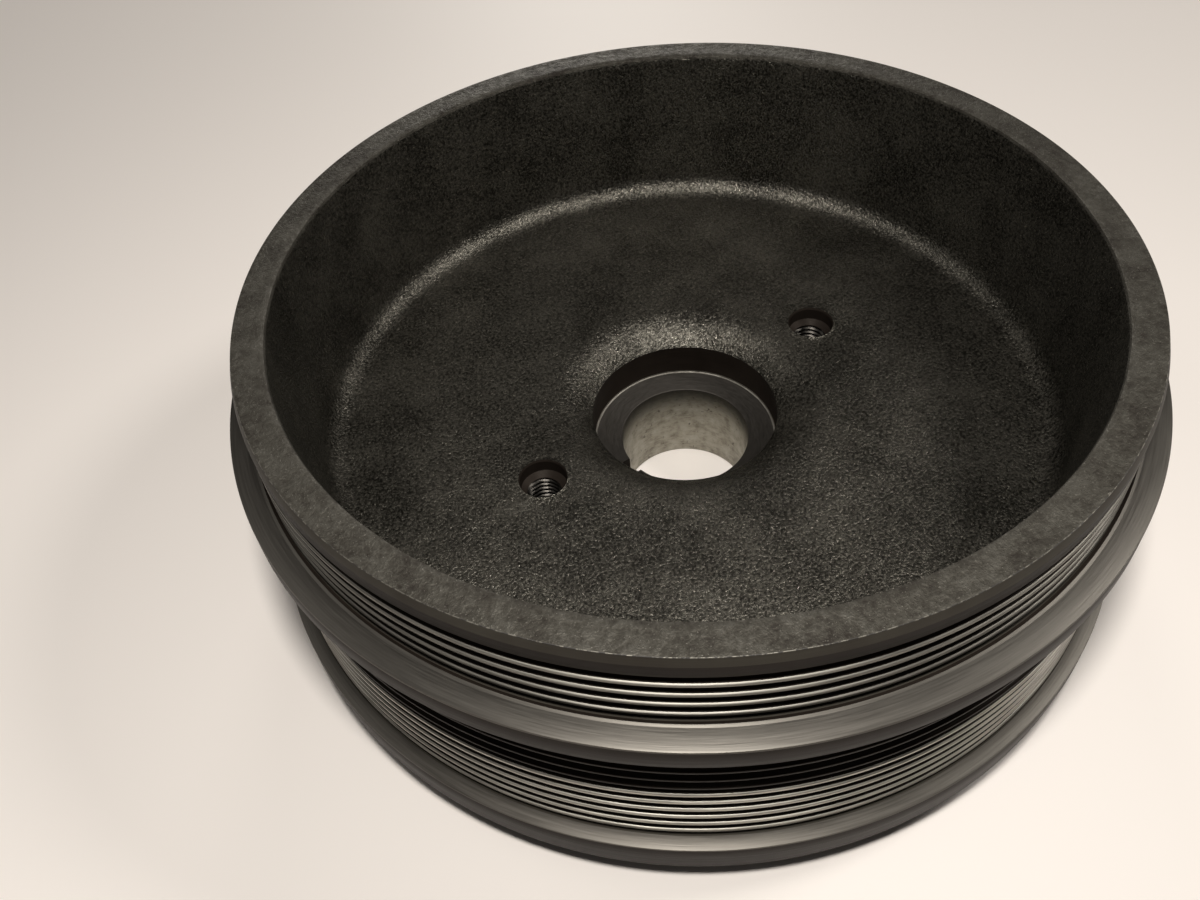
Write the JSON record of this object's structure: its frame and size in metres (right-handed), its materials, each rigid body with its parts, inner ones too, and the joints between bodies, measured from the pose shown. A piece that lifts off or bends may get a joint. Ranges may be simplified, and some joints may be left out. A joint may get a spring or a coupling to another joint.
{
  "type": "crankshaft damper pulley",
  "caption": "Round crankshaft pulley for ribbed belts: deep cast dish, keyed bore, front and rear belt bands, and a rubber-sprung outer inertia ring.",
  "frame": {"origin": "centre of the hub's rear face, where the pulley stands on a surface", "axes": "+Z along the turning axis out of the front dish; X through the two tapped puller holes, with the keyway on -X"},
  "size_m": [0.2322, 0.2322, 0.087],
  "materials": {
    "hub_iron": "as-cast dish, turned belt band and flange",
    "damper_rubber": "matt",
    "ring_iron": "turned all over"
  },
  "bodies": {
    "hub": {"hub_casting": "hub_iron", "damper_rubber": "damper_rubber"},
    "ring": {"inertia_ring": "ring_iron"}
  },
  "joints": [
    {"name": "damper_twist", "type": "hinge", "parent": "hub", "child": "ring", "pos_m": [0, 0, 0.0318], "axis": [0, 0, 1], "range_deg": [-1, 1], "stiffness_Nm_per_rad": 2000}
  ]
}
